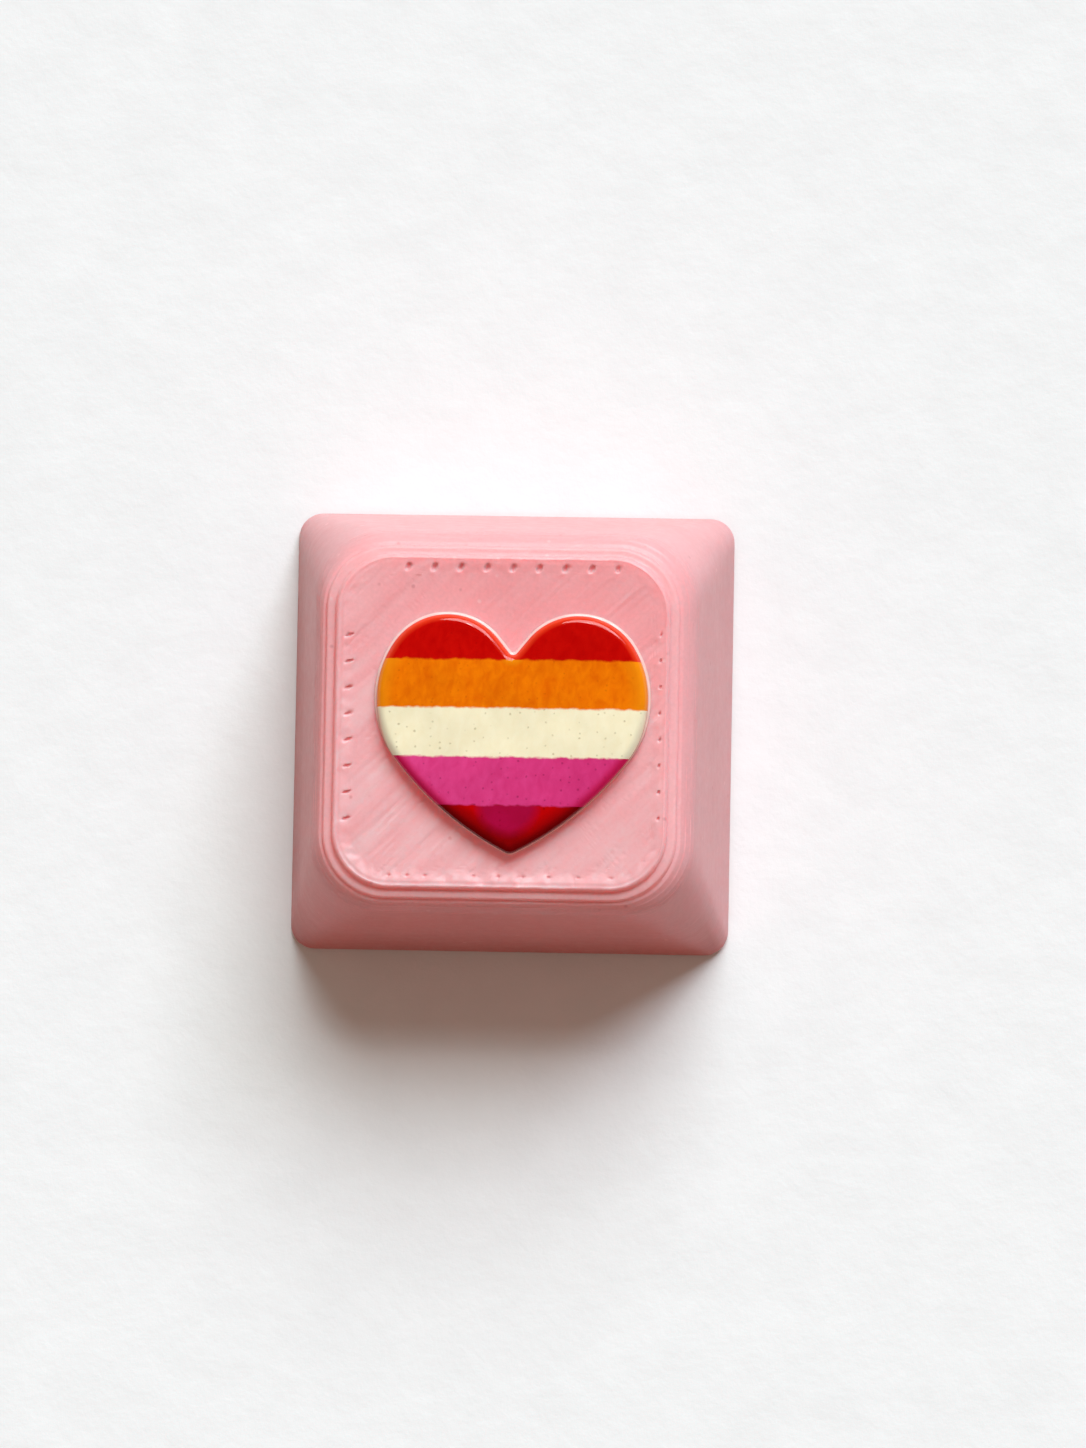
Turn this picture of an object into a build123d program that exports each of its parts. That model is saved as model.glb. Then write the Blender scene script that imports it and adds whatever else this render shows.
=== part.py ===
from build123d import *
import math
import os

# A one-unit keycap, printed in layers, with a raised heart of five coloured bands on its top face.
# Millimetres. +Z is up, the heart's lobes point to +Y, and the origin is the middle of the rim.

# Skirt and walls
BASE_WIDTH = 18.0  # across the skirt, just above its bevelled foot
BASE_CORNER = 1.0  # plan radius of the skirt's corners there
RIM_BEVEL = 0.25  # bevel round the foot of the skirt
CAP_HEIGHT = 8.6  # rim to top face
TOP_WIDTH = 14.9  # across the walls, where their lines reach the level of the top face
TOP_CORNER = 3.1  # plan radius of their corners at that level

# Top edge, rounded in printed layers
CROWN_RADIUS = 1.6  # the rounding that the layers follow
LAYER_HEIGHT = 0.2  # one printed layer

# Cavity under the top
WALL = 1.2  # thickness of the walls, measured level
ROOF = 1.6  # thickness of the top
CAVITY_CORNER = 0.6  # least plan radius of the cavity's corners
CEILING_BEVEL = 0.8  # between the cavity's walls and its ceiling
OVERCUT = 1.0  # how far a cut runs past the face it opens

# Stem with a cross socket, for a standard cross-stem key switch
STEM_WALL = 0.7  # round the tips of the socket's cross
STEM_RECESS = 0.8  # rim to the stem's foot
STEM_FLARE = 0.6  # conical flare at the stem's root
CROSS_SPAN = 4.0  # the switch's cross, from tip to tip
CROSS_ARM_X = 1.3  # thickness of the arms along X
CROSS_ARM_Y = 1.1  # thickness of the arms along Y
CROSS_CLEARANCE = 0.05  # between the cross and each side of its socket
SOCKET_DEPTH = 4.0
SOCKET_LEAD_IN = 0.2  # bevel round the socket's mouth

# Heart, in plan: a straight cheek at the notch, then lobe, shoulder and flank arcs down to the tip
HEART_X = 0.34  # the heart sits a little off the middle of the top
HEART_Y = -0.55
CHEEK_RUN = 0.52  # level reach of the straight cheek, from the notch
CHEEK_SLOPE = 51.25  # degrees above level
LOBE_Y = 2.18  # centres of the lobes, above the heart's middle
LOBE_RADIUS = 2.68
LOBE_END = 33.0  # degrees above level, where the lobe runs into the shoulder
SHOULDER_RADIUS = 4.05
SHOULDER_END = -37.0  # degrees above level, where the shoulder runs into the flank
FLANK_RADIUS = 12.8
NOTCH_RADIUS = 0.1

# Heart, in height
HEART_EDGE = 0.6  # height of its upper edge before that is rounded
HEART_ROUND = 0.4  # rounding of the upper edge
HEART_CROWN = 0.15  # swell of its surface
TIP_BLUNT = 0.05  # radius that is left at the tip, inside the rounding

# Bands of equal height, from the lobes to the tip
BAND_COLOURS = ["red", "orange", "cream", "magenta", "crimson"]

DRAFT = math.atan2((BASE_WIDTH - TOP_WIDTH) / 2, CAP_HEIGHT - RIM_BEVEL)
CEILING = CAP_HEIGHT - ROOF
CROWN_LAYERS = math.ceil(CROWN_RADIUS * (1 - math.sin(DRAFT)) / LAYER_HEIGHT)
CROWN_FOOT = CAP_HEIGHT - CROWN_LAYERS * LAYER_HEIGHT


def wall_outline(height, inset=0.0):
    """Rounded square that the walls have at a height, drawn in by an inset."""
    share = (height - RIM_BEVEL) / (CAP_HEIGHT - RIM_BEVEL)
    width = BASE_WIDTH + (TOP_WIDTH - BASE_WIDTH) * share - 2 * inset
    corner = BASE_CORNER + (TOP_CORNER - BASE_CORNER) * share - inset
    return RectangleRounded(width, width, max(corner, CAVITY_CORNER))


def wall_section(height, inset=0.0):
    """The walls' outline, placed at its height."""
    return Pos(0, 0, height) * wall_outline(height, inset)


def crown_inset(depth):
    """How far the rounded top edge lies inside the walls' own line, at a depth below the top face."""
    start = CROWN_RADIUS * (1 - math.sin(DRAFT)) / math.cos(DRAFT)
    reach = math.sqrt(CROWN_RADIUS**2 - (CROWN_RADIUS - depth) ** 2)
    return start + depth * math.tan(DRAFT) - reach


def cap_body():
    """Drafted walls with a bevelled foot, and a top edge that steps in layer by layer."""
    body = loft([wall_section(0, RIM_BEVEL), wall_section(RIM_BEVEL), wall_section(CROWN_FOOT)], ruled=True)
    for layer in range(CROWN_LAYERS):
        foot = CROWN_FOOT + layer * LAYER_HEIGHT
        middle = foot + LAYER_HEIGHT / 2
        terrace = wall_outline(middle, crown_inset(CAP_HEIGHT - middle))
        body += extrude(Pos(0, 0, foot) * terrace, LAYER_HEIGHT)
    return body


def cavity():
    """Hollow inside the walls, open at the rim and bevelled up to its ceiling."""
    spring = wall_section(CEILING - CEILING_BEVEL, WALL)
    ceiling = wall_section(CEILING, WALL + CEILING_BEVEL)
    return loft([wall_section(-OVERCUT, WALL), spring, ceiling], ruled=True)


def stem():
    """Round post that hangs from the ceiling, with a flared root and a cross socket in its foot."""
    span = CROSS_SPAN + 2 * CROSS_CLEARANCE
    radius = span / 2 + STEM_WALL
    root = radius + STEM_FLARE
    seat = CEILING + ROOF / 2
    foot_and_side = [(0, STEM_RECESS), (radius, STEM_RECESS), (radius, CEILING - STEM_FLARE)]
    profile = Polyline(*foot_and_side, (root, CEILING), (root, seat), (0, seat), close=True)
    post = revolve(Plane.XZ * make_face(profile), Axis.Z)
    cross = Rectangle(span, CROSS_ARM_X + 2 * CROSS_CLEARANCE)
    cross += Rectangle(CROSS_ARM_Y + 2 * CROSS_CLEARANCE, span)
    post -= extrude(Pos(0, 0, STEM_RECESS) * cross, SOCKET_DEPTH)
    mouth = post.faces().sort_by(Axis.Z)[0].inner_wires()[0]
    return chamfer(mouth.edges(), SOCKET_LEAD_IN)


def keycap_shell():
    """The printed cap in one piece: walls, top and stem."""
    return cap_body() - cavity() + stem()


def arc_between(centre, radius, start, end):
    """Arc about a centre, between two angles in degrees."""
    return CenterArc(centre, radius, start, end - start)


def heart_outline():
    """Closed plan of the heart, about its own middle."""
    cheek_end = CHEEK_SLOPE + 90
    lobe = Vector(CHEEK_RUN, LOBE_Y) - Vector(LOBE_RADIUS * math.cos(math.radians(cheek_end)), 0)
    shoulder = lobe - Vector(SHOULDER_RADIUS - LOBE_RADIUS, 0).rotate(Axis.Z, LOBE_END)
    flank = shoulder - Vector(FLANK_RADIUS - SHOULDER_RADIUS, 0).rotate(Axis.Z, SHOULDER_END)
    lobe_arc = arc_between(lobe, LOBE_RADIUS, cheek_end, LOBE_END)
    notch = Vector(0, (lobe_arc @ 0).Y - CHEEK_RUN * math.tan(math.radians(CHEEK_SLOPE)))
    tip_angle = -math.degrees(math.acos(-flank.X / FLANK_RADIUS))
    half = (
        Line(notch, lobe_arc @ 0)
        + lobe_arc
        + arc_between(shoulder, SHOULDER_RADIUS, LOBE_END, SHOULDER_END)
        + arc_between(flank, FLANK_RADIUS, SHOULDER_END, tip_angle)
    )
    outline = make_face(half + mirror(half, Plane.YZ))
    outline = fillet(outline.vertices().sort_by(Axis.Y)[0], HEART_ROUND + TIP_BLUNT)
    return fillet(outline.vertices().sort_by_distance(notch)[0], NOTCH_RADIUS)


def heart():
    """Raised heart on the top face, with a swelling surface and a rounded upper edge."""
    outline = heart_outline()
    reach = outline.bounding_box().size.X / 2
    dome_radius = (reach**2 + HEART_CROWN**2) / (2 * HEART_CROWN)
    height = HEART_EDGE + HEART_CROWN
    dome = Pos(0, 0, height - dome_radius) * Rot(90, 0, 0) * Sphere(dome_radius)
    solid = extrude(outline, height) & dome
    surface = solid.faces().filter_by(GeomType.SPHERE)[0]
    solid = fillet(surface.edges(), HEART_ROUND)
    return Pos(HEART_X, HEART_Y, CAP_HEIGHT) * solid


def heart_bands():
    """The heart cut level into bands that butt edge to edge."""
    whole = heart()
    box = whole.bounding_box()
    band_height = box.size.Y / len(BAND_COLOURS)
    slab = Box(2 * box.size.X, band_height, 2 * box.size.Z)
    bands = {}
    for index, colour in enumerate(BAND_COLOURS):
        middle = box.max.Y - (index + 0.5) * band_height
        bands[f"heart_{colour}_band"] = whole & Pos(box.center().X, middle, box.center().Z) * slab
    return bands


parts = {"keycap_shell": keycap_shell(), **heart_bands()}
os.makedirs("parts", exist_ok=True)
for node, solid in parts.items():
    export_step(solid, f"parts/{node}.step")
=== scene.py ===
import math

import bmesh
import bpy
import numpy as np
from mathutils import Matrix, Vector


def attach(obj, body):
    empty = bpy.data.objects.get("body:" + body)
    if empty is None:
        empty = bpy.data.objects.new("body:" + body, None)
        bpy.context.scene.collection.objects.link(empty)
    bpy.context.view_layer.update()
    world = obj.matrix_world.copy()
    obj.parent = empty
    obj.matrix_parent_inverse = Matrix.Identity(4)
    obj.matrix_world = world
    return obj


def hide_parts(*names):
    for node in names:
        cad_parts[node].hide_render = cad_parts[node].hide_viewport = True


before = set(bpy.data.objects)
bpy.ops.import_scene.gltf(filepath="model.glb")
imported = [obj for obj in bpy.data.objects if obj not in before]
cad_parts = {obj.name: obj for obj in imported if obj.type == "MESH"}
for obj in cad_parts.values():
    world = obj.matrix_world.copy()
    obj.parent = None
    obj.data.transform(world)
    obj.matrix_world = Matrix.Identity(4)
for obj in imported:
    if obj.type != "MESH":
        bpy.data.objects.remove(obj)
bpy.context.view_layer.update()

# A one-unit keycap, printed in layers, with a raised glossy heart of five coloured bands.
# Shapes are worked out in millimetres, in the part's own frame, and scaled to metres at the end.
# Angles are in degrees, and colours are linear.
MM = 0.001
SEED = 7

# Cap, as in the part's source
BASE_HALF = 9.0  # half the width of the skirt, just above its bevelled foot
BASE_CORNER = 1.0  # plan radius of the skirt's corners there
RIM_BEVEL = 0.25  # bevel round the foot of the skirt
CAP_HEIGHT = 8.6  # rim to top face
TOP_HALF = 7.45  # half the width of the walls, where their lines reach the level of the top face
TOP_CORNER = 3.1  # plan radius of their corners at that level
CROWN_RADIUS = 1.6  # the rounding that the layers of the top edge follow
LAYER_HEIGHT = 0.2  # one printed layer
WALL = 1.2  # thickness of the walls, measured level
CEILING = 7.0  # rim to the cavity's ceiling
CEILING_BEVEL = 0.8  # between the cavity's walls and its ceiling
CAVITY_CORNER = 0.6  # least plan radius of the cavity's corners
STEM_RADIUS = 2.75
STEM_FLARE = 0.6  # conical flare at the stem's root
STEM_FOOT = 0.8  # rim to the stem's foot
SOCKET_REACH = 2.05  # half the cross socket, from tip to tip
SOCKET_ARM_X = 0.7  # half the width of its slot along X
SOCKET_ARM_Y = 0.6  # half the width of its slot along Y
SOCKET_END = 4.8  # rim to the socket's end
SOCKET_LEAD_IN = 0.2  # bevel round the socket's mouth

# Heart, as in the part's source: a cheek at the notch, then lobe, shoulder and flank arcs to the tip
HEART_X = 0.34  # the heart sits a little off the middle of the top
HEART_Y = -0.55
CHEEK_RUN = 0.52  # level reach of the straight cheek, from the notch
CHEEK_SLOPE = 51.25  # above level
LOBE_Y = 2.18  # centres of the lobes, above the heart's middle
LOBE_RADIUS = 2.68
LOBE_END = 33.0  # above level, where the lobe runs into the shoulder
SHOULDER_RADIUS = 4.05
SHOULDER_END = -37.0  # above level, where the shoulder runs into the flank
FLANK_RADIUS = 12.8
TIP_RADIUS = 0.45
NOTCH_RADIUS = 0.1
HEART_EDGE = 0.6  # height of its upper edge before that is rounded
HEART_CROWN = 0.143  # swell of its surface, a hair less than the solid's, to stay inside it
DOME_RADIUS = 105.0  # of the swelling surface
TIP_SINK = 0.1  # how far that surface sinks towards the tip

# Points round a loop of the cap, on each side and in each corner; plain loops keep one in COARSE
SIDE_POINTS = 104
CORNER_POINTS = 36
COARSE = 4
SHARP_ANGLE = 40  # edges that turn more than this aren't smoothed
WAVE_TERMS = 6  # sines in a random curve

# Top face of the print: a perimeter round diagonal infill
TOP_SHIFT = np.array([-0.12, -0.08])  # the upper layers sit a little off the middle
TOP_LOSS = 0.003  # the printed face lies this far below its nominal level
TOP_MARGIN = 0.0005  # no point of it comes nearer to that level than this
INFILL_EDGE = 5.98  # half the width of the infill
INFILL_RISE = 0.5  # width over which it comes up to the perimeter
INFILL_DROP = 0.004  # how far it lies below the perimeter
LOWER_DROP = 0.05  # further drop along its lower edge
LEFT_DROP = 0.02  # further drop along its left edge
INFILL_PITCH = 0.523  # between print lines, measured along a side
LINE_COUNT = 200  # more lines than the face has, each with its own level and depth
LINE_PHASE = 0.24  # where the first line lies, as a share of the pitch
LINE_LEVEL = 0.007  # spread of the lines' levels
LINE_DEPTH = 0.012  # of the grooves between them
LINE_DEPTHS = (0.1, 1.6)  # least and greatest share of that depth
LINE_BLEND = 0.35  # share of a line's width over which its level takes over from the last one's
GROOVE_SHAPE = 1.6  # the higher, the narrower
LINE_WANDER = 0.05  # sideways, along a line
LINE_RIPPLE = 0.004  # up and down, along a line
SCALLOP_DEPTH = 0.12  # of the infill's turns, along the perimeter's inner limit
SCALLOP_SHIFT = 0.07  # of that limit, to keep its middle in place
EDGE_WANDER = 0.06  # of that limit
SIDE_SHIFT = 4  # along a random curve, so that opposite sides differ
DISH_DEPTH = 0.1  # sag of the infill in its middle
DISH_RADIUS = 7.4162  # where the sag ends
VALLEY_RING = 6.43  # half the width of the fine valley along the perimeter
VALLEY_WIDTH = 0.05
VALLEY_DEPTH = 0.004
VALLEY_EXTRA = 0.01  # further depth along the left and lower edges
FINE_RINGS_FROM = 5.8  # half the width of the first of the finely spaced rings
TOP_RINGS = [0.5, 1.7, *np.arange(2.9, FINE_RINGS_FROM, 0.085), *np.arange(FINE_RINGS_FROM, 6.54, 0.04)]

# Pinholes where the infill turns round: half length, half width, lean and depth of those on each side
UPPER_HOLE = (0.18, 0.1, 62, 0.13)
LEFT_HOLE = (0.19, 0.055, 18, 0.1)
RIGHT_HOLE = (0.08, 0.055, 60, 0.09)
LOWER_HOLE = (0.075, 0.055, 30, 0.055)
PINHOLE_RING = 6.21  # from the middle to the rows of pinholes
UPPER_HOLES_INSET = 0.1  # the upper row lies nearer the middle
UPPER_HOLES_PITCH = 1.046
SIDE_HOLES_PITCH = 1.045
ROW_MARGIN = 0.2  # a pinhole belongs to a side if it lies less than this inside the rows' distance
LOWER_HOLES_X = (-4.46, -3.74, -3.02, -1.09, -0.09, 0.88, 1.9, 3.07, 4.37)
PINHOLES = (
    [(0.27 + UPPER_HOLES_PITCH * k, PINHOLE_RING - UPPER_HOLES_INSET, *UPPER_HOLE) for k in range(-4, 5)]
    + [(-PINHOLE_RING, 0.2 + SIDE_HOLES_PITCH * k, *LEFT_HOLE) for k in range(-4, 4)]
    + [(PINHOLE_RING, 0.38 + SIDE_HOLES_PITCH * k, *RIGHT_HOLE) for k in range(-4, 4)]
    + [(x, -PINHOLE_RING, *LOWER_HOLE) for x in LOWER_HOLES_X]
)
HOLE_REACH = 0.7  # a pinhole changes nothing farther away than this
DAB_PLACE = (-0.1, -0.22)  # the small blob beside a pinhole, from its middle
DAB_RADIUS = 0.15
DAB_SHARE = 0.13  # the blob's height, as a share of the pinhole's depth
STRAIGHT_HALF = 4.41  # half the straight stretch of a side at the pinholes
HOLE_CROWDING = 1.6  # how much closer the loops' points lie at a pinhole
HOLE_SPREAD = 0.2  # over which distance

# Rounded top edge: how much of its step and of its painted light and shade each printed layer shows, from
# the top down
LAYER_SHOWS = (0.9, 0.75, 0.3, 0.14, 0.1, 0.08, 0.05)
LAYER_SHADE_TINTS = (0.8, 0.7, 0.4, 0.2, 0.1, 0.0, 0.0)
CROWN_LAYERS = len(LAYER_SHOWS)
BEAD_ROUND = 0.165  # rounding of the top layer's rim
LOWER_ROUND = 0.6  # rounding of the others, as a share of that or of their ledge if it is narrower
BEAD_FOOT = 0.03  # bevel between a layer's side and the ledge below it
BEAD_ANGLES = (0, 25, 50, 72, 90)
LEDGE_FALL = 0.1  # slope of the ledges
CROWN_UNEVEN = 0.0006  # share by which the layers' outline wanders

# Walls, cavity and stem: the valleys between printed layers
WALL_VALLEY = (0.003, 0.01)  # least and greatest depth
WALL_PROFILE = ((1.0, 1.0), (0.74, 0.12), (0.26, 0.12))  # height in a layer, share of the valley there
WALL_SHIFT = 0.008  # greatest inset of a whole layer
WALL_CLEARANCE = 0.001  # kept from the solid's walls
INNER_VALLEY = (0.006, 0.018)  # the same in the cavity and on the stem
STEM_BEVEL = 0.06  # round the stem's foot
TINY = 1e-9  # keeps a division from failing

# Foot of the skirt: height, and distance inward from the walls' line
FOOT_SECTION = ((0.4, 0.012), (0.3, 0.0), (0.24, 0.004), (0.15, 0.07), (0.06, 0.165), (0.0, 0.25))

# Clear rim at the heart's foot: distance inward, and height above the top face
RIM_SECTION = (
    (0.0, -0.15),
    (0.0, 0.03),
    (0.012, 0.07),
    (0.05, 0.1),
    (0.09, 0.11),
    (0.108, 0.14),
    (0.115, 0.22),
)
RIM_WIDTH = 0.12
FLANK_RIM = 0.45  # share of the rim's width along the lower flanks
HEART_MIDDLE = np.array([0, 0.5])  # towards which the heart's inner loops draw in
FOOT_SCALES = (0.35, 0.7)
TOP_SCALES = (0.97, 0.93, 0.84, 0.72, 0.58, 0.42, 0.26, 0.12)
HEART_REACH = 4.5  # from the heart's middle to its edge, about
BANDS = ("red", "orange", "cream", "magenta", "crimson")
CUT_MARGIN = 1e-3  # no band is cut nearer than this to the heart's own ends


def smooth(low, high, x):
    """Smooth step from 0 at low to 1 at high."""
    t = np.clip((x - low) / (high - low), 0, 1)
    return t * t * (3 - 2 * t)


def wave(rng, x, scale):
    """A seeded smooth random curve of about unit size."""
    total = np.zeros_like(x)
    for _ in range(WAVE_TERMS):
        total += np.sin(x * scale * rng.uniform(0.4, 1.8) + rng.uniform(0, 2 * math.pi))
    return total / math.sqrt(WAVE_TERMS / 2)


def unit(degrees):
    """Unit vectors at angles from +X."""
    a = np.radians(np.atleast_1d(degrees))
    return np.column_stack([np.cos(a), np.sin(a)])


def raised(xy, z):
    """Plan points at a height, or at a height each."""
    return np.column_stack([xy, np.broadcast_to(z, len(xy))])


class Skin:
    """Vertices and faces of one closed skin, made loop by loop, with a value for each vertex."""

    def __init__(self):
        self.points = []
        self.values = []
        self.faces = []
        self.count = 0
        self.last = None

    def loop(self, xyz, value=0.0):
        """Adds a loop and joins it to the one before."""
        start = self.count
        self.points.append(np.asarray(xyz, float))
        self.values.append(np.broadcast_to(value, len(xyz)))
        self.count += len(xyz)
        self.last, before = range(start, self.count), self.last
        if before is None:
            self.faces.append(list(self.last))
        elif len(before) == len(self.last):
            self._strip(before, self.last)
        else:
            self._narrow(before, self.last)

    def _strip(self, a, b):
        """Joins two loops with as many points each."""
        n = len(a)
        for i in range(n):
            j = (i + 1) % n
            self.faces.append((a[i], b[i], b[j], a[j]))

    def _narrow(self, fine, coarse):
        """Joins a loop to one with fewer points."""
        n, step = len(fine), len(fine) // len(coarse)
        for i, c in enumerate(coarse):
            after = coarse[(i + 1) % len(coarse)]
            f = [fine[(i * step + k) % n] for k in range(step + 1)]
            middle = step // 2
            for k in range(middle):
                self.faces.append((f[k], c, f[k + 1]))
            self.faces.append((f[middle], c, after))
            for k in range(middle, step):
                self.faces.append((f[k], after, f[k + 1]))

    def close(self):
        """Closes the last loop with one face."""
        self.faces.append(list(reversed(self.last)))


def place_mesh(mesh):
    """An object that shows a mesh, smooth but for its sharp edges."""
    mesh.shade_smooth()
    mesh.set_sharp_from_angle(angle=math.radians(SHARP_ANGLE))
    piece = bpy.data.objects.new(mesh.name, mesh)
    bpy.context.scene.collection.objects.link(piece)
    return piece


def finish_mesh(name, points, faces):
    """An object from points in millimetres."""
    mesh = bpy.data.meshes.new(name)
    mesh.from_pydata((np.asarray(points) * MM).tolist(), [], faces)
    mesh.update()
    return place_mesh(mesh)


# Cap


def wall_share(z):
    """0 at the skirt's widest level, 1 at the top face."""
    return (z - RIM_BEVEL) / (CAP_HEIGHT - RIM_BEVEL)


def wall_half(z):
    """Half the width of the walls at a height."""
    return BASE_HALF + (TOP_HALF - BASE_HALF) * wall_share(z)


def wall_corner(z):
    """Plan radius of the walls' corners at a height."""
    return BASE_CORNER + (TOP_CORNER - BASE_CORNER) * wall_share(z)


def crown_inset(depth):
    """How far the rounded top edge lies inside the walls' own line, at a depth below the top face."""
    draft = math.atan2(BASE_HALF - TOP_HALF, CAP_HEIGHT - RIM_BEVEL)
    start = CROWN_RADIUS * (1 - math.sin(draft)) / math.cos(draft)
    reach = math.sqrt(CROWN_RADIUS**2 - (CROWN_RADIUS - depth) ** 2)
    return start + depth * math.tan(draft) - reach


def crown_half(depth):
    """Half the width of the rounded top edge at a depth below the top face."""
    return wall_half(CAP_HEIGHT - depth) - crown_inset(depth)


def side_directions(side):
    """Outward direction of a side of the cap, and the direction along it."""
    out = np.array([math.cos(side * math.pi / 2), math.sin(side * math.pi / 2)])
    return out, np.array([-out[1], out[0]])


def side_fractions():
    """Places of the loops' points along the straight of each side, closer together at the pinholes."""
    s = np.linspace(-1, 1, 2001)
    sides = []
    for side in range(4):
        out, along = side_directions(side)
        density = np.ones_like(s)
        for x, y, *_ in PINHOLES:
            if out @ (x, y) > PINHOLE_RING - ROW_MARGIN:
                away = s * STRAIGHT_HALF - along @ (x, y)
                density += HOLE_CROWDING * np.exp(-((away / HOLE_SPREAD) ** 2))
        total = np.concatenate([[0], np.cumsum((density[1:] + density[:-1]) / 2)])
        sides.append(np.interp(np.arange(SIDE_POINTS) / SIDE_POINTS * total[-1], total, s))
    return sides


SIDE_FRACTIONS = side_fractions()


def rounded_square(half, corner, step=1):
    """Points round a square with rounded corners, from the foot of the right side, counter-clockwise."""
    points = []
    for side in range(4):
        out, along = side_directions(side)
        straight = SIDE_FRACTIONS[side][::step, None]
        points.append(out * half + along * straight * (half - corner))
        a = (np.arange(0, CORNER_POINTS, step) / CORNER_POINTS * math.pi / 2)[:, None]
        points.append((out + along) * (half - corner) + corner * (out * np.cos(a) + along * np.sin(a)))
    return np.concatenate(points)


def infill_relief(x, y):
    """Height of the diagonal print lines on the top face: uneven, and broken along their length."""
    rng = np.random.default_rng(SEED)
    level = rng.normal(0, LINE_LEVEL, LINE_COUNT)
    depth = LINE_DEPTH * rng.uniform(*LINE_DEPTHS, LINE_COUNT)
    along = (x + y) / math.sqrt(2)
    across = (y - x + LINE_WANDER * wave(rng, along, 0.7)) / INFILL_PITCH + LINE_PHASE
    index = np.floor(across).astype(int)
    share = across - index
    line = (index + LINE_COUNT // 2) % LINE_COUNT
    groove = np.abs(np.cos(math.pi * share)) ** GROOVE_SHAPE
    step = smooth(0.0, LINE_BLEND, share)
    height = level[line - 1] * (1 - step) + level[line] * step
    broken = np.clip(0.6 + 0.6 * wave(rng, along + index * 1.7, 0.9), 0, 1.4)
    ripple = LINE_RIPPLE * wave(rng, along + index * 2.3, 1.6)
    return height + ripple - depth[line] * broken * groove


def edge_jitter(x, y):
    """How far the inner limit of the perimeter wanders, with a scallop for each print line."""
    rng = np.random.default_rng(SEED + 1)
    level_side = np.abs(y) > np.abs(x)
    along = np.where(level_side, x, y) + SIDE_SHIFT * np.sign(x + y)
    scallop = np.abs(np.sin(math.pi * along / INFILL_PITCH + 0.8 * wave(rng, along, 1.5)))
    return SCALLOP_DEPTH * scallop - SCALLOP_SHIFT + EDGE_WANDER * wave(rng, along, 5.0)


def near_low_edge(place):
    """0 over most of the top face, rising to 1 at its left edge for an x, or its lower edge for a y."""
    return smooth(-4.6, -6.0, place)


def infill_drop(x, y):
    """How far the infill lies below the perimeter: most along the lower edge, then the left one."""
    return INFILL_DROP + LOWER_DROP * smooth(-2.5, -6.0, y) + LEFT_DROP * near_low_edge(x)


def top_relief(xy, half):
    """Height of the printed top face along a loop of a given half width, and where its pinholes are."""
    x, y = xy[:, 0], xy[:, 1]
    rise = smooth(INFILL_EDGE, INFILL_EDGE + INFILL_RISE, half + edge_jitter(x, y))
    dish = DISH_DEPTH * np.clip(1 - (x * x + y * y) / DISH_RADIUS**2, 0, 1)
    z = (infill_relief(x, y) - infill_drop(x, y) - dish) * (1 - rise)
    valley = VALLEY_DEPTH + VALLEY_EXTRA * np.maximum(near_low_edge(x), near_low_edge(y))
    z = z - valley * np.exp(-(((half - VALLEY_RING) / VALLEY_WIDTH) ** 2)) - TOP_LOSS
    holes = np.zeros_like(z)
    for hole_x, hole_y, length, width, lean, depth in PINHOLES:
        dx, dy = x - hole_x, y - hole_y
        near = (np.abs(dx) < HOLE_REACH) & (np.abs(dy) < HOLE_REACH)
        a = math.radians(lean)
        u = (dx * math.cos(a) + dy * math.sin(a)) / length
        v = (dy * math.cos(a) - dx * math.sin(a)) / width
        hole = np.where(near, 1 - smooth(0.3, 1.3, np.hypot(u, v)), 0)
        holes = np.maximum(holes, hole)
        from_dab = np.hypot(dx - DAB_PLACE[0], dy - DAB_PLACE[1]) / DAB_RADIUS
        dab = np.where(near, DAB_SHARE * np.exp(-(from_dab**2)), 0)
        z = z + depth * (dab - hole)
    return np.minimum(z, -TOP_MARGIN), holes


def add_top(skin):
    """The top face, from its middle out to the perimeter. Pinholes, which get painted shade, have negative
    values.
    """
    for half in TOP_RINGS:
        corner = half - (TOP_HALF - TOP_CORNER) if half > FINE_RINGS_FROM else half / 4
        xy = rounded_square(half, corner) + TOP_SHIFT * smooth(5.6, 6.3, half)
        relief, holes = top_relief(xy, half)
        skin.loop(raised(xy, CAP_HEIGHT + relief), -holes)


def layer_section(layer):
    """Half widths and depths across one layer: its ledge, its rounded rim and the side below that."""
    top, foot = layer * LAYER_HEIGHT, (layer + 1) * LAYER_HEIGHT
    half = crown_half((top + foot) / 2)
    section = []
    radius = BEAD_ROUND
    if layer:
        inner = crown_half(top - LAYER_HEIGHT / 2) + BEAD_FOOT
        radius = LOWER_ROUND * min(BEAD_ROUND, half - inner)
        fall = LEDGE_FALL * (half - radius - inner)
        section.append((inner, top))
        section.append(((inner + half - radius) / 2, top + fall / 2))
        top = min(top + fall, foot - BEAD_FOOT - radius)
    for a in np.radians(BEAD_ANGLES):
        section.append((half - radius * (1 - math.sin(a)), top + radius * (1 - math.cos(a))))
    section.append((half, foot - BEAD_FOOT))
    return section


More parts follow.
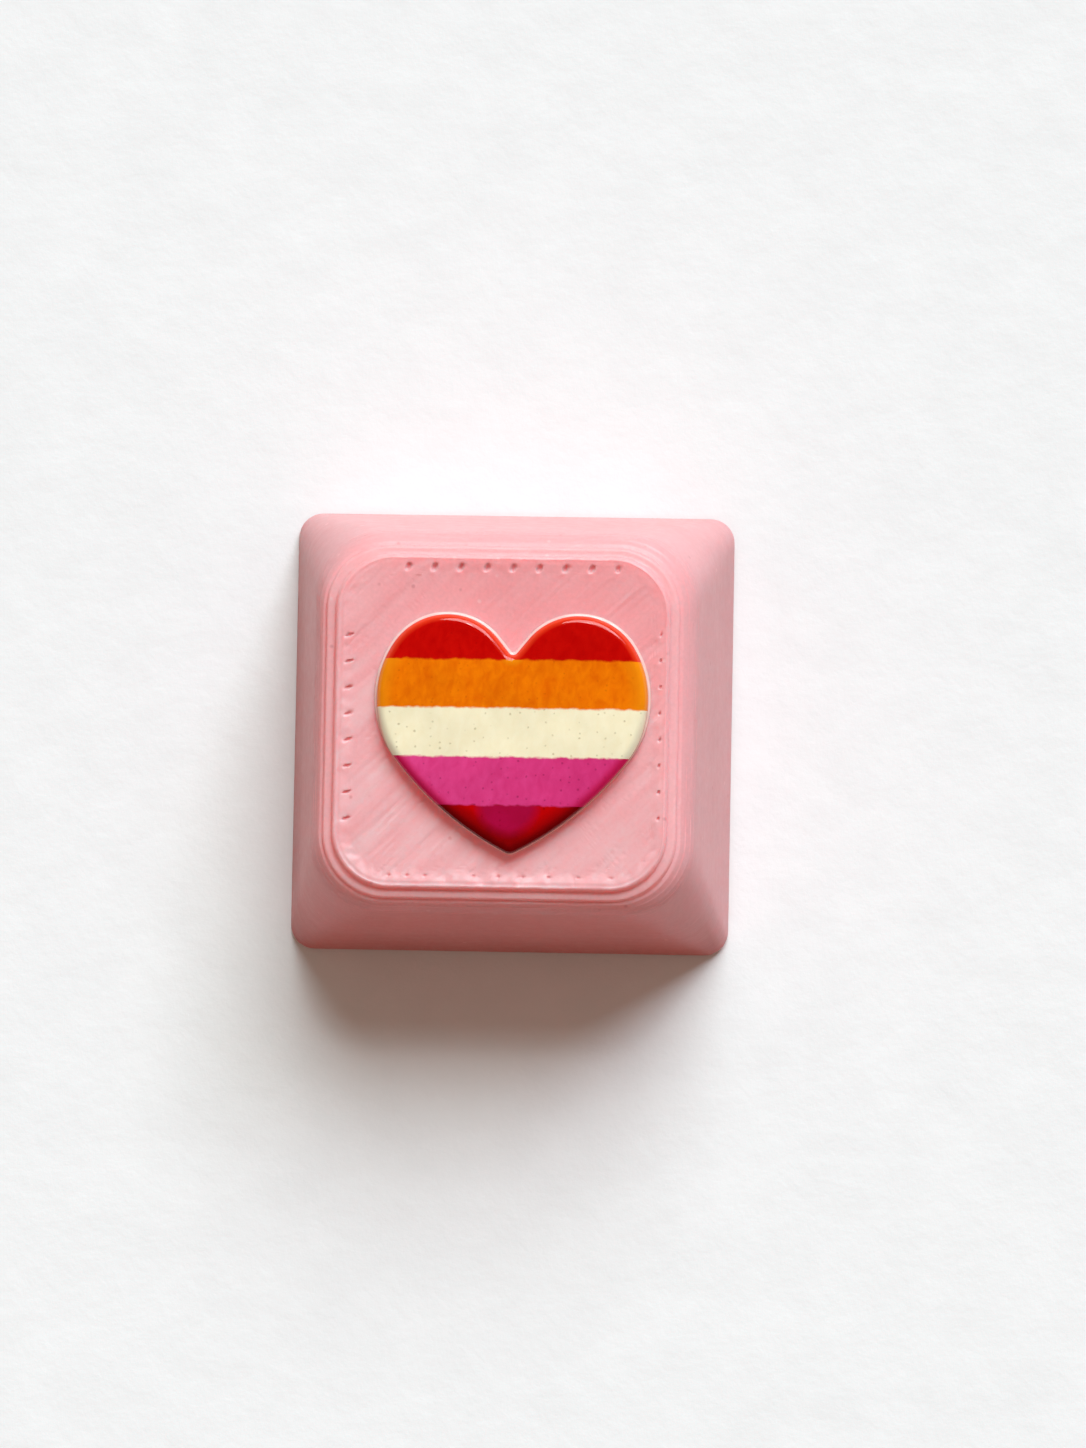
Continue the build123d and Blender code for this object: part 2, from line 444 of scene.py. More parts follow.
def add_crown(skin):
    """The rounded top edge: the upper layers stand out as steps, and the lower ones run together."""
    rng = np.random.default_rng(SEED + 2)
    for layer, shows in enumerate(LAYER_SHOWS):
        # Layers that run together need only half the loops
        every = 1 if shows > 0.5 else 2
        for half, depth in layer_section(layer)[::every]:
            rounded = crown_half(max(depth, LAYER_HEIGHT / 2))
            reach = rounded + (half - rounded) * shows
            z = CAP_HEIGHT - depth
            xy = rounded_square(reach, wall_corner(z) - wall_half(z) + reach)
            around = np.arctan2(xy[:, 1], xy[:, 0])
            uneven = 1 - CROWN_UNEVEN * np.abs(wave(rng, around, 9.0))
            xy = xy * uneven[:, None] + TOP_SHIFT * (1 - smooth(0.3, 0.9, depth))
            skin.loop(raised(xy, z), LAYER_SHADE_TINTS[layer] * smooth(0.0, 0.05, depth))


def add_walls(skin):
    """Drafted walls in printed layers, and the bevelled foot."""
    rng = np.random.default_rng(SEED + 3)
    layers = round(CAP_HEIGHT / LAYER_HEIGHT) - CROWN_LAYERS
    for layer in range(layers - 1, 1, -1):
        valley = rng.uniform(*WALL_VALLEY)
        shift = rng.uniform(0, WALL_SHIFT)
        for rise, share in WALL_PROFILE:
            z = (layer + rise) * LAYER_HEIGHT
            inset = share * valley + shift + WALL_CLEARANCE
            skin.loop(raised(rounded_square(wall_half(z) - inset, wall_corner(z) - inset, COARSE), z))
    for z, inset in FOOT_SECTION:
        half = min(wall_half(z), BASE_HALF) - inset
        skin.loop(raised(rounded_square(half, BASE_CORNER - inset, COARSE), z))


def add_cavity(skin):
    """Rim, inner walls and ceiling. Gives the angles of the ceiling's points."""
    rng = np.random.default_rng(SEED + 4)
    spring = CEILING - CEILING_BEVEL
    levels = [(0.0, 0.0)]
    for layer in range(1, round(spring / LAYER_HEIGHT)):
        z = layer * LAYER_HEIGHT
        levels += [(z, rng.uniform(*INNER_VALLEY)), (z + LAYER_HEIGHT / 2, 0.0)]
    levels.append((spring, 0.0))
    for z, valley in levels:
        corner = max(wall_corner(z) - WALL, CAVITY_CORNER)
        skin.loop(raised(rounded_square(wall_half(z) - WALL + valley, corner, COARSE), z))
    inset = WALL + CEILING_BEVEL
    ceiling = rounded_square(wall_half(CEILING) - inset, wall_corner(CEILING) - inset, COARSE)
    skin.loop(raised(ceiling, CEILING))
    return np.arctan2(ceiling[:, 1], ceiling[:, 0])


def cross(angles, lead):
    """Outline of the cross socket, a point for each angle, with its corners kept sharp."""
    reach, arm_x, arm_y = SOCKET_REACH + lead, SOCKET_ARM_X + lead, SOCKET_ARM_Y + lead
    c, s = np.abs(np.cos(angles)) + TINY, np.abs(np.sin(angles)) + TINY
    radius = np.maximum(np.minimum(reach / c, arm_x / s), np.minimum(arm_y / c, reach / s))
    points = np.column_stack([np.cos(angles), np.sin(angles)]) * radius[:, None]
    for x, y in ((reach, arm_x), (arm_y, reach), (arm_y, arm_x)):
        for corner in ((x, y), (-x, y), (-x, -y), (x, -y)):
            nearest = np.argmin(np.hypot(points[:, 0] - corner[0], points[:, 1] - corner[1]))
            points[nearest] = corner
    return points


def add_stem(skin, angles):
    """Round post with a flared root, and the cross socket in its foot."""
    rng = np.random.default_rng(SEED + 5)
    round_plan = np.column_stack([np.cos(angles), np.sin(angles)])
    skin.loop(raised(round_plan * (STEM_RADIUS + STEM_FLARE), CEILING))
    root_layer = round((CEILING - STEM_FLARE) / LAYER_HEIGHT)
    foot_layer = round(STEM_FOOT / LAYER_HEIGHT)
    for layer in range(root_layer - 1, foot_layer, -1):
        z = layer * LAYER_HEIGHT
        valley = rng.uniform(*INNER_VALLEY)
        skin.loop(raised(round_plan * (STEM_RADIUS - valley), z + LAYER_HEIGHT))
        skin.loop(raised(round_plan * STEM_RADIUS, z + LAYER_HEIGHT / 2))
    skin.loop(raised(round_plan * STEM_RADIUS, STEM_FOOT + STEM_BEVEL))
    skin.loop(raised(round_plan * (STEM_RADIUS - STEM_BEVEL), STEM_FOOT))
    for lead, z in ((SOCKET_LEAD_IN, STEM_FOOT), (0, STEM_FOOT + SOCKET_LEAD_IN), (0, SOCKET_END)):
        skin.loop(raised(cross(angles, lead), z))
    skin.close()


def make_cap():
    """The printed cap. Its attribute is the share of the painted light and shade on the steps, or of a
    pinhole's painted shade where negative.
    """
    skin = Skin()
    add_top(skin)
    add_crown(skin)
    add_walls(skin)
    add_stem(skin, add_cavity(skin))
    cap = finish_mesh("keycap", np.concatenate(skin.points), skin.faces)
    steps = cap.data.attributes.new("steps", "FLOAT", "POINT")
    steps.data.foreach_set("value", np.concatenate(skin.values))
    return cap


# Heart


def heart_loop(inset):
    """Outline of the heart drawn in by an inset, about its own middle, counter-clockwise from the tip."""
    lean = math.radians(CHEEK_SLOPE)
    inward = np.array([math.sin(lean), -math.cos(lean)])
    cheek_end = CHEEK_SLOPE + 90
    lobe = np.array([CHEEK_RUN, LOBE_Y]) - [LOBE_RADIUS * math.cos(math.radians(cheek_end)), 0]
    shoulder = lobe - (SHOULDER_RADIUS - LOBE_RADIUS) * unit(LOBE_END)[0]
    flank = shoulder - (FLANK_RADIUS - SHOULDER_RADIUS) * unit(SHOULDER_END)[0]
    tip = np.array([0, flank[1] - math.sqrt((FLANK_RADIUS - TIP_RADIUS) ** 2 - flank[0] ** 2)])
    flank_end = math.degrees(math.atan2(tip[1] - flank[1], tip[0] - flank[0]))
    cheek_top = lobe - LOBE_RADIUS * inward
    notch_y = cheek_top[1] - CHEEK_RUN * math.tan(lean)
    notch = np.array([0, notch_y + NOTCH_RADIUS / math.cos(lean)])
    cheek_foot = notch + NOTCH_RADIUS * inward
    t = np.linspace(0, 1, 9)[1:-1, None]
    half = np.concatenate([
        notch + (NOTCH_RADIUS + inset) * unit(np.linspace(-90, CHEEK_SLOPE - 90, 7)),
        cheek_foot + (cheek_top - cheek_foot) * t + inset * inward,
        lobe + (LOBE_RADIUS - inset) * unit(np.linspace(cheek_end, LOBE_END, 50)[:-1]),
        shoulder + (SHOULDER_RADIUS - inset) * unit(np.linspace(LOBE_END, SHOULDER_END, 50)[:-1]),
        flank + (FLANK_RADIUS - inset) * unit(np.linspace(SHOULDER_END, flank_end, 60)[:-1]),
        tip + (TIP_RADIUS - inset) * unit(np.linspace(flank_end, -90, 9)),
    ])
    return np.concatenate([half[::-1], half[1:-1] * [-1, 1]])


def lobe_share(xy):
    """1 at the heart's lobes, 0 along its lower flanks."""
    return smooth(-1.0, 1.5, xy[:, 1])


def eased_loop(lobe_inset, flank_inset):
    """Outline of the heart, drawn in by one inset at the lobes and another along the flanks."""
    lobes, flanks = heart_loop(lobe_inset), heart_loop(flank_inset)
    return flanks + (lobes - flanks) * lobe_share(flanks)[:, None]


def edge_section(radius, start):
    """Insets and falls across the rounded upper edge: an arc from a start angle up to level."""
    a = np.radians(np.linspace(start, 90, 10))
    return radius * (math.cos(a[0]) - np.cos(a)), radius * (1 - np.sin(a))


LOBE_EDGE = edge_section(radius=0.34, start=0)
FLANK_EDGE = edge_section(radius=0.5, start=45)


def heart_dome(xy):
    """Height of the heart's swelling surface, a little lower towards the tip."""
    swell = HEART_CROWN - (xy**2).sum(1) / (2 * DOME_RADIUS)
    return HEART_EDGE + swell - TIP_SINK * smooth(-1.0, -4.4, xy[:, 1])


def heart_skin():
    """Skin of the whole heart, about its own middle. Its values are distances inward from the edge."""
    skin = Skin()
    foot = heart_loop(0)
    for scale in FOOT_SCALES:
        skin.loop(raised(HEART_MIDDLE + (foot - HEART_MIDDLE) * scale, RIM_SECTION[0][1]))
    for inset, z in RIM_SECTION:
        skin.loop(raised(eased_loop(inset, inset * FLANK_RIM), z), inset)
    for lobe_inset, lobe_fall, flank_inset, flank_fall in zip(*LOBE_EDGE, *FLANK_EDGE):
        crest = eased_loop(RIM_WIDTH + lobe_inset, RIM_WIDTH * FLANK_RIM + flank_inset)
        reach = RIM_WIDTH + lobe_inset
        fall = flank_fall + (lobe_fall - flank_fall) * lobe_share(crest)
        skin.loop(raised(crest, heart_dome(crest) - fall), reach)
    # The rest of the surface draws in from the last of those loops
    for scale in TOP_SCALES:
        inner = HEART_MIDDLE + (crest - HEART_MIDDLE) * scale
        skin.loop(raised(inner, heart_dome(inner)), reach + (1 - scale) * HEART_REACH)
    skin.close()
    return skin


def cut_level(bm, level, side):
    """Cuts away what lies beyond a level in Y, on the side +1 or -1, and closes the cut."""
    geometry = bm.verts[:] + bm.edges[:] + bm.faces[:]
    bmesh.ops.bisect_plane(
        bm, geom=geometry, dist=1e-6, plane_co=(0, level, 0), plane_no=(0, side, 0), clear_outer=True
    )
    bmesh.ops.holes_fill(bm, edges=[e for e in bm.edges if e.is_boundary], sides=0)


def make_bands():
    """The heart cut level into bands that butt edge to edge: colour, object and limits in Y of each."""
    skin = heart_skin()
    points = np.concatenate(skin.points) + [HEART_X, HEART_Y, CAP_HEIGHT]
    values = np.concatenate(skin.values)
    heart_top, heart_foot = points[:, 1].max(), points[:, 1].min()
    height = (heart_top - heart_foot) / len(BANDS)
    pieces = []
    for index, colour in enumerate(BANDS):
        top, foot = heart_top - index * height, heart_top - (index + 1) * height
        bm = bmesh.new()
        layer = bm.verts.layers.float.new("edge")
        verts = [bm.verts.new(p) for p in points]
        for vert, value in zip(verts, values):
            vert[layer] = value
        for face in skin.faces:
            bm.faces.new([verts[i] for i in face])
        for level, side in ((top, 1), (foot, -1)):
            if heart_foot + CUT_MARGIN < level < heart_top - CUT_MARGIN:
                cut_level(bm, level, side)
        bmesh.ops.recalc_face_normals(bm, faces=bm.faces[:])
        bmesh.ops.scale(bm, vec=(MM, MM, MM), verts=bm.verts[:])
        mesh = bpy.data.meshes.new("heart_" + colour)
        bm.to_mesh(mesh)
        bm.free()
        pieces.append((colour, place_mesh(mesh), top, foot))
    return pieces


# Materials


class Nodes:
    """Short hand for a material's node tree."""

    def __init__(self, name):
        self.material = bpy.data.materials.new(name)
        self.material.use_nodes = True
        self.tree = self.material.node_tree
        self.shader = self.tree.nodes["Principled BSDF"]
        in_mm = self.add("Mapping")
        in_mm.inputs["Scale"].default_value = (1 / MM,) * 3
        self.link(self.add("TexCoord").outputs["Object"], in_mm.inputs["Vector"])
        self.mm = in_mm.outputs["Vector"]

    def add(self, kind, **settings):
        node = self.tree.nodes.new("ShaderNode" + kind)
        for name, value in settings.items():
            setattr(node, name, value)
        return node

    def link(self, output, target):
        self.tree.links.new(output, target)

    def put(self, value, socket):
        """Sets a socket to a number, or links an output to it."""
        if isinstance(value, (int, float)):
            socket.default_value = value
        else:
            self.link(value, socket)

    def stretched(self, scale, turn):
        """Coordinates in millimetres, turned about the vertical, then scaled along each axis."""
        turned = self.add("Mapping")
        turned.inputs["Rotation"].default_value = (0, 0, math.radians(turn))
        self.link(self.mm, turned.inputs["Vector"])
        scaled = self.add("Mapping")
        scaled.inputs["Scale"].default_value = scale
        self.link(turned.outputs["Vector"], scaled.inputs["Vector"])
        return scaled.outputs["Vector"]

    def part(self, vector, axis):
        node = self.add("SeparateXYZ")
        self.link(vector, node.inputs["Vector"])
        return node.outputs[axis]

    def attribute(self, name):
        return self.add("Attribute", attribute_name=name).outputs["Fac"]

    def math(self, operation, a, b):
        node = self.add("Math", operation=operation)
        self.put(a, node.inputs[0])
        self.put(b, node.inputs[1])
        return node.outputs["Value"]

    def noise(self, scale, detail=3, vector=None, rough=0.5, twist=0.0):
        node = self.add("TexNoise")
        node.inputs["Scale"].default_value = scale
        node.inputs["Detail"].default_value = detail
        node.inputs["Roughness"].default_value = rough
        node.inputs["Distortion"].default_value = twist
        self.link(vector or self.mm, node.inputs["Vector"])
        return node.outputs["Fac"]

    def cells(self, scale, dimensions):
        """Distance to random points, and a random colour for each."""
        node = self.add("TexVoronoi", voronoi_dimensions=dimensions)
        node.inputs["Scale"].default_value = scale
        self.link(self.mm, node.inputs["Vector"])
        return node.outputs["Distance"], node.outputs["Color"]

    def ramp(self, source, stops):
        node = self.add("ValToRGB")
        elements = node.color_ramp.elements
        while len(elements) < len(stops):
            elements.new(1.0)
        for element, (place, colour) in zip(elements, stops):
            element.position = place
            element.color = (*colour, 1)
        self.link(source, node.inputs["Fac"])
        return node.outputs["Color"]

    def cloud(self, tones, scale, detail=3):
        """Two tones that run into each other in soft patches."""
        return self.ramp(self.noise(scale, detail), [(0.3, tones[0]), (0.7, tones[1])])

    def mix(self, factor, a, b, blend="MIX"):
        """Mixes two colour outputs; the factor is an output or a number."""
        node = self.add("Mix", data_type="RGBA", blend_type=blend)
        self.put(factor, node.inputs[0])
        self.put(a, node.inputs[6])
        self.put(b, node.inputs[7])
        return node.outputs[2]

    def times(self, a, b):
        """Product of two colours."""
        return self.mix(1.0, a, b, "MULTIPLY")

    def range(self, source, low, high, source_low=0.3, source_high=0.7):
        """Runs from low to high while the source runs from its own low to its high, and stops there."""
        node = self.add("MapRange")
        node.inputs["From Min"].default_value = source_low
        node.inputs["From Max"].default_value = source_high
        node.inputs["To Min"].default_value = low
        node.inputs["To Max"].default_value = high
        self.link(source, node.inputs["Value"])
        return node.outputs["Result"]

    def bump(self, source, strength, distance):
        node = self.add("Bump")
        node.inputs["Strength"].default_value = strength
        node.inputs["Distance"].default_value = distance * MM
        self.link(source, node.inputs["Height"])
        self.link(node.outputs["Normal"], self.shader.inputs["Normal"])

    def set(self, **values):
        for name, value in values.items():
            self.shader.inputs[name.replace("_", " ")].default_value = value

    def feed(self, name, output):
        self.link(output, self.shader.inputs[name])


def grey(share):
    return (share,) * 3


def darker(colour, share):
    return tuple(share * x for x in colour)


# Pink plastic: pairs of tones that run into each other, and painted light and shade that change with place
# or direction
WALL_TONES = ((0.715, 0.37, 0.38), (0.755, 0.4, 0.41))
# the top face, painted paler than the walls: painted sheen
TOP_SHEEN_TONES = ((0.88, 0.375, 0.388), (0.91, 0.4, 0.413))
# paler still towards the top face's lower left: more painted sheen
LOWER_LEFT_SHEEN_TONES = ((0.975, 0.45, 0.463), (0.99, 0.48, 0.493))
# pale streaks along the print lines there: painted sheen
SHEEN_STREAK_TONES = ((0.985, 0.52, 0.53), (0.995, 0.55, 0.56))
# darker inside the pinholes: painted shade
PIT_SHADE_TONES = ((0.84, 0.25, 0.25), (0.88, 0.29, 0.29))
GRAIN_TONES = (grey(0.96), grey(1.03))
# steps painted deep red where they face away from the window and paler where they face it: painted shade
# and light
STEP_SHADE_TINTS = ((0.0, (0.945, 0.39, 0.385)), (0.3, (0.885, 0.49, 0.5)), (1.0, (0.88, 0.4, 0.41)))
# darker towards the foot of the walls and a little lighter near the top: painted shade and light
PAINTED_HEIGHT_SHADES = ((0.05, (0.79, 0.58, 0.52)), (0.45, grey(0.98)), (0.85, (1.03, 1.03, 1.04)))
# surfaces facing left painted darker, those facing right lighter and bluer: painted shade and light
PAINTED_SIDE_SHADES = ((0.0, (0.97, 0.945, 0.95)), (0.5, grey(1.0)), (1.0, (1.02, 1.045, 1.07)))
SPECK_TINTS = ((0.55, (0.6, 0.22, 0.23)), (0.6, (0.95, 0.62, 0.62)))
SCATTER_SCALE = 0.3  # how far light travels inside the plastic
SCATTER_RADIUS = (1.7, 0.6, 0.55)


def plastic_tone(n, level):
    """Tone of the plastic: walls, and a top face painted paler than them as a painted sheen, which grows
    and streaks towards its lower left.
    """
    # share of the painted sheen, rising towards the lower left
    lower = n.range(n.part(n.mm, "Y"), 0.0, 1.0, 4.5, -4.5)
    left = n.range(n.part(n.mm, "X"), 0.4, 0.0, -6.0, 0.0)
    lower = n.math("MINIMUM", n.math("ADD", lower, left), 1.0)
    top = n.mix(lower, n.cloud(TOP_SHEEN_TONES, 0.5), n.cloud(LOWER_LEFT_SHEEN_TONES, 0.5))
    colour = n.mix(level, n.cloud(WALL_TONES, 0.32), top)
    streaks = n.noise(1.0, 4, n.stretched((0.3, 2.1, 1.0), -45))
    # painted sheen streaks, on the top face only
    sheen_streaks = n.math("MULTIPLY", n.range(streaks, 0, 1, 0.42, 0.68), n.range(lower, 0.12, 1.0, 0, 1))
    return n.mix(n.math("MULTIPLY", sheen_streaks, level), colour, n.cloud(SHEEN_STREAK_TONES, 1.1))


def plastic_specks(n, colour):
    """The plastic with a few dark and pale specks."""
    distance, random = n.cells(1.2, "3D")
    dots = n.range(distance, 1, 0, 0.05, 0.13)
    chosen = n.range(n.part(random, "X"), 0, 0.55, 0.4, 0.55)
    specks = n.ramp(n.part(random, "Y"), SPECK_TINTS)
    return n.mix(n.math("MULTIPLY", dots, chosen), colour, specks)


def pink_plastic():
    """Matte printed plastic that light enters a little way."""
    n = Nodes("pink_plastic")
    normal = n.add("NewGeometry").outputs["Normal"]
    level = n.range(n.part(normal, "Z"), 0, 1, 0.8, 0.97)
    # how far a surface faces the window, which the painted light and shade follow
    facing = n.math("ADD", n.part(normal, "Y"), n.math("MULTIPLY", n.part(normal, "X"), 0.35))
    steps = n.attribute("steps")
    # painted light and shade on the steps of the top edge
    tint = n.ramp(n.range(facing, 0, 1, -0.2, 0.6), STEP_SHADE_TINTS)
    colour = n.mix(steps, plastic_tone(n, level), tint)
    # painted shade in the pinholes
    colour = n.mix(n.range(steps, 0.75, 0, -1, 0), colour, n.cloud(PIT_SHADE_TONES, 1.4))
    # painted shade towards the foot of the walls that face away from the window, and painted light near the
    # top
    height = n.range(n.part(n.mm, "Z"), 0, 1, 0, 8)
    height = n.math("MAXIMUM", height, n.range(facing, 0.0, 0.5, -0.6, -0.2))
    colour = n.times(colour, n.ramp(height, PAINTED_HEIGHT_SHADES))
    # painted shade on the left, painted light on the right
    colour = n.times(colour, n.ramp(n.range(n.part(normal, "X"), 0, 1, -0.9, 0.9), PAINTED_SIDE_SHADES))
    colour = plastic_specks(n, colour)
    n.feed("Base Color", n.times(colour, n.cloud(GRAIN_TONES, 7.0, 4)))
    n.feed("Roughness", n.range(n.noise(2.2), 0.33, 0.45))
    n.bump(n.noise(14.0), 0.35, 0.006)
    n.set(Specular_IOR_Level=0.4)
    n.set(Subsurface_Weight=1.0, Subsurface_Scale=SCATTER_SCALE * MM, Subsurface_Radius=SCATTER_RADIUS)
    return n.material


# Bands: streaks from a deep to a light tone, the rounded edge's painted light on the red and orange bands
# and painted shade on the others, and how far it reaches inward, the tone of the clear rim, partly a
# painted highlight, and the tone and strength of the specks
BAND_LOOKS = {
    "red": {
        "streaks": ((0.49, 0.0012, 0.001), (0.6, 0.004, 0.002)),
        "edge": (0.78, 0.05, 0.014),
        "painted_edge_reach": 0.43,
        "rim": (0.9, 0.6, 0.56),
        "speck": (0.4, 0.001, 0.001),
        "speck_strength": 0.3,
    },
    "orange": {
        "streaks": ((0.77, 0.13, 0.001), (0.93, 0.215, 0.002)),
        "edge": (0.9, 0.28, 0.005),
        "painted_edge_reach": 0.85,
        "rim": (0.9, 0.62, 0.56),
        "speck": (0.56, 0.08, 0.002),
        "speck_strength": 0.4,
    },
    "cream": {
        "streaks": ((0.94, 0.835, 0.56), (0.98, 0.895, 0.64)),
        "edge": (0.86, 0.82, 0.6),
        "painted_edge_reach": 0.43,
        "rim": (0.88, 0.62, 0.55),
        "speck": (0.46, 0.37, 0.19),
        "speck_strength": 0.6,
    },
    "magenta": {
        "streaks": ((0.71, 0.042, 0.205), (0.81, 0.068, 0.275)),
        "edge": (0.62, 0.012, 0.1),
        "painted_edge_reach": 0.6,
        "rim": (0.98, 0.6, 0.57),
        "speck": (0.25, 0.008, 0.06),
        "speck_strength": 0.6,
    },
    "crimson": {
        "streaks": ((0.27, 0.0012, 0.0025), (0.4, 0.0015, 0.002)),
        "edge": (0.19, 0.001, 0.002),
        "painted_edge_reach": 0.9,
        "rim": (0.98, 0.6, 0.57),
        "speck": (0.2, 0.001, 0.002),
        "speck_strength": 0.4,
    },
}
MOTTLE_TONES = (grey(0.93), grey(1.05))
EDGE_START = 0.2  # from the heart's edge, up to where the edge's painted light and shade are full
RIM_LIMIT = (0.095, 0.11)  # from the heart's edge, where the clear rim ends
LIMIT_WANDER = 0.045  # of the limits between the bands
LIMIT_BLUR = 0.045
MAGENTA_SHADES = ((0.0, grey(1.0)), (1.0, (0.9, 0.7, 0.82)))  # from left to right
BRIGHT_TONES = ((0.51, 0.001, 0.002), (0.57, 0.0015, 0.002))  # upper part of the crimson band
ROSE_REFLECTION_TONES = ((0.36, 0.003, 0.032), (0.43, 0.004, 0.052))  # round patch on the crimson band: a painted reflection
ROSE_REFLECTION_PLACE = (0.24, -3.4)
ROSE_REFLECTION_RADIUS = 1.38


def band_body(n, colour):
    """The streaked, mottled tone of a band."""
    deep, light = BAND_LOOKS[colour]["streaks"]
    streaks = n.noise(1.0, 5, n.stretched((3.4, 2.0, 1.0), 8), twist=0.5)
    return n.times(n.ramp(streaks, [(0.25, deep), (0.75, light)]), n.cloud(MOTTLE_TONES, 0.55))


def magenta_shaded(n, body):
    """The magenta band, darker to the right."""
    across = n.math("ADD", n.part(n.mm, "X"), n.range(n.noise(0.8), -0.8, 0.8))
    return n.times(body, n.ramp(n.range(across, 0, 1, -3.0, 3.0), MAGENTA_SHADES))


def crimson_patched(n, body, top):
    """The crimson band, brighter along its upper limit and to the right, with a round rose patch that is a
    painted reflection.
    """
    place = n.math("ADD", n.part(n.mm, "Y"), n.range(n.noise(1.2), -0.2, 0.2))
    place = n.math("ADD", place, n.range(n.part(n.mm, "X"), 0.0, 1.2, 0.3, 1.5))
    body = n.mix(n.range(place, 0, 1, top - 1.0, top - 0.15), body, n.cloud(BRIGHT_TONES, 1.3))
    # the rose patch: painted reflection
    shift = n.add("Mapping")
    shift.inputs["Location"].default_value = (-ROSE_REFLECTION_PLACE[0] / ROSE_REFLECTION_RADIUS, -ROSE_REFLECTION_PLACE[1] / ROSE_REFLECTION_RADIUS, 0)
    shift.inputs["Scale"].default_value = (1 / ROSE_REFLECTION_RADIUS, 1 / ROSE_REFLECTION_RADIUS, 0)
    n.link(n.mm, shift.inputs["Vector"])
    disc = n.add("TexGradient", gradient_type="SPHERICAL")
    n.link(shift.outputs["Vector"], disc.inputs["Vector"])
    return n.mix(n.range(disc.outputs["Fac"], 0, 1, 0.0, 0.35), body, n.cloud(ROSE_REFLECTION_TONES, 0.9))


def band_specks(n, body, tone, strength):
    """A band with small dark specks of uneven outline."""
    distance, random = n.cells(2.9, "2D")
    dots = n.range(n.math("ADD", distance, n.range(n.noise(7.0), -0.08, 0.08)), 1, 0, 0.0, 0.16)
    chosen = n.range(n.part(random, "X"), 0, strength, 0.6, 0.75)
    return n.mix(n.math("MULTIPLY", dots, chosen), body, n.cloud((tone, darker(tone, 0.8)), 2.0, 2))


def band_limits(n, body, colour, top, foot):
    """A band whose limits wander a little into the bands above and below."""
    index = BANDS.index(colour)
    place = n.math("ADD", n.part(n.mm, "Y"), n.range(n.noise(2.4), -LIMIT_WANDER, LIMIT_WANDER))
    if index > 0:
        above = n.range(place, 0, 1, top - LIMIT_BLUR, top + LIMIT_BLUR)
        body = n.mix(above, body, band_body(n, BANDS[index - 1]))
    if index < len(BANDS) - 1:
        below = n.range(place, 1, 0, foot - LIMIT_BLUR, foot + LIMIT_BLUR)
        body = n.mix(below, body, band_body(n, BANDS[index + 1]))
    return body


def band_gloss(colour, top, foot):
    """A band's glossy finish, with painted light and shade on its rounded edge, and a clear rim painted
    pale: partly the pink seen through it, partly painted highlight.
    """
    look = BAND_LOOKS[colour]
    n = Nodes(colour + "_gloss")
    body = band_body(n, colour)
    if colour == "magenta":
        body = magenta_shaded(n, body)
    if colour == "crimson":
        body = crimson_patched(n, body, top)
    body = band_specks(n, body, look["speck"], look["speck_strength"])
    body = band_limits(n, body, colour, top, foot)
    edge = n.attribute("edge")
    # painted light and shade on the rounded edge, full near the edge and fading inward
    painted_edge_share = n.range(edge, 1, 0, EDGE_START, look["painted_edge_reach"])
    body = n.mix(painted_edge_share, body, n.cloud((darker(look["edge"], 0.92), look["edge"]), 1.5))
    # the clear rim: its pale tone is partly the pink under clear resin and partly a painted highlight
    on_rim = n.range(edge, 1, 0, *RIM_LIMIT)
    n.feed("Base Color", n.mix(on_rim, body, n.cloud((darker(look["rim"], 0.9), look["rim"]), 2.4)))
    n.feed("Roughness", n.range(n.noise(1.6), 0.035, 0.075))
    n.bump(n.noise(2.6), 0.12, 0.003)
    n.set(Specular_IOR_Level=0.3)
    return n.material


# Floor, light and camera

PAPER_TONES = ((0.9, 0.9, 0.905), (0.935, 0.935, 0.94))
BOUNCE_TONES = ((0.64, 0.25, 0.235), (0.66, 0.26, 0.245))  # what the paper throws back on the cap's walls
FLOOR_PROFILE = ((50, 0), (300, 0), (1200, 0), (1350, 30), (1460, 120), (1500, 250), (1500, 400))
FLOOR_SPOKES = 64
FILL_TONE = (1.0, 0.785, 0.61, 1)
FILL_LEVEL = 0.236
WINDOW_AZIMUTH = 13
WINDOW_ELEVATION = 40
WINDOW_ANGLE = 40  # that the window spans
CAMERA_PLACE = Vector((11.01, -14.78, 240))
CAMERA_AIM = Vector((1.219, 0.434, 0))
CAMERA_ROLL = 1.072
CAMERA_LENS = 145.06
CAMERA_SENSOR = 36


def paper():
    """White paper with a faint grain. The light that it throws back is warmer than it looks itself."""
    n = Nodes("paper")
    grain = n.noise(0.35, 5, rough=0.6)
    seen_tone = n.ramp(grain, [(0.3, PAPER_TONES[0]), (0.7, PAPER_TONES[1])])
    bounce = n.ramp(grain, [(0.3, BOUNCE_TONES[0]), (0.7, BOUNCE_TONES[1])])
    path = n.add("LightPath")
    seen = n.math("MAXIMUM", path.outputs["Is Camera Ray"], path.outputs["Is Glossy Ray"])
    seen = n.math("MAXIMUM", seen, path.outputs["Is Transmission Ray"])
    n.feed("Base Color", n.mix(seen, bounce, seen_tone))
    n.feed("Roughness", n.range(n.noise(0.8), 0.85, 0.95))
    n.bump(n.noise(0.42, 6, rough=0.62), 0.5, 0.12)
    n.set(Specular_IOR_Level=0.1)
    return n.material


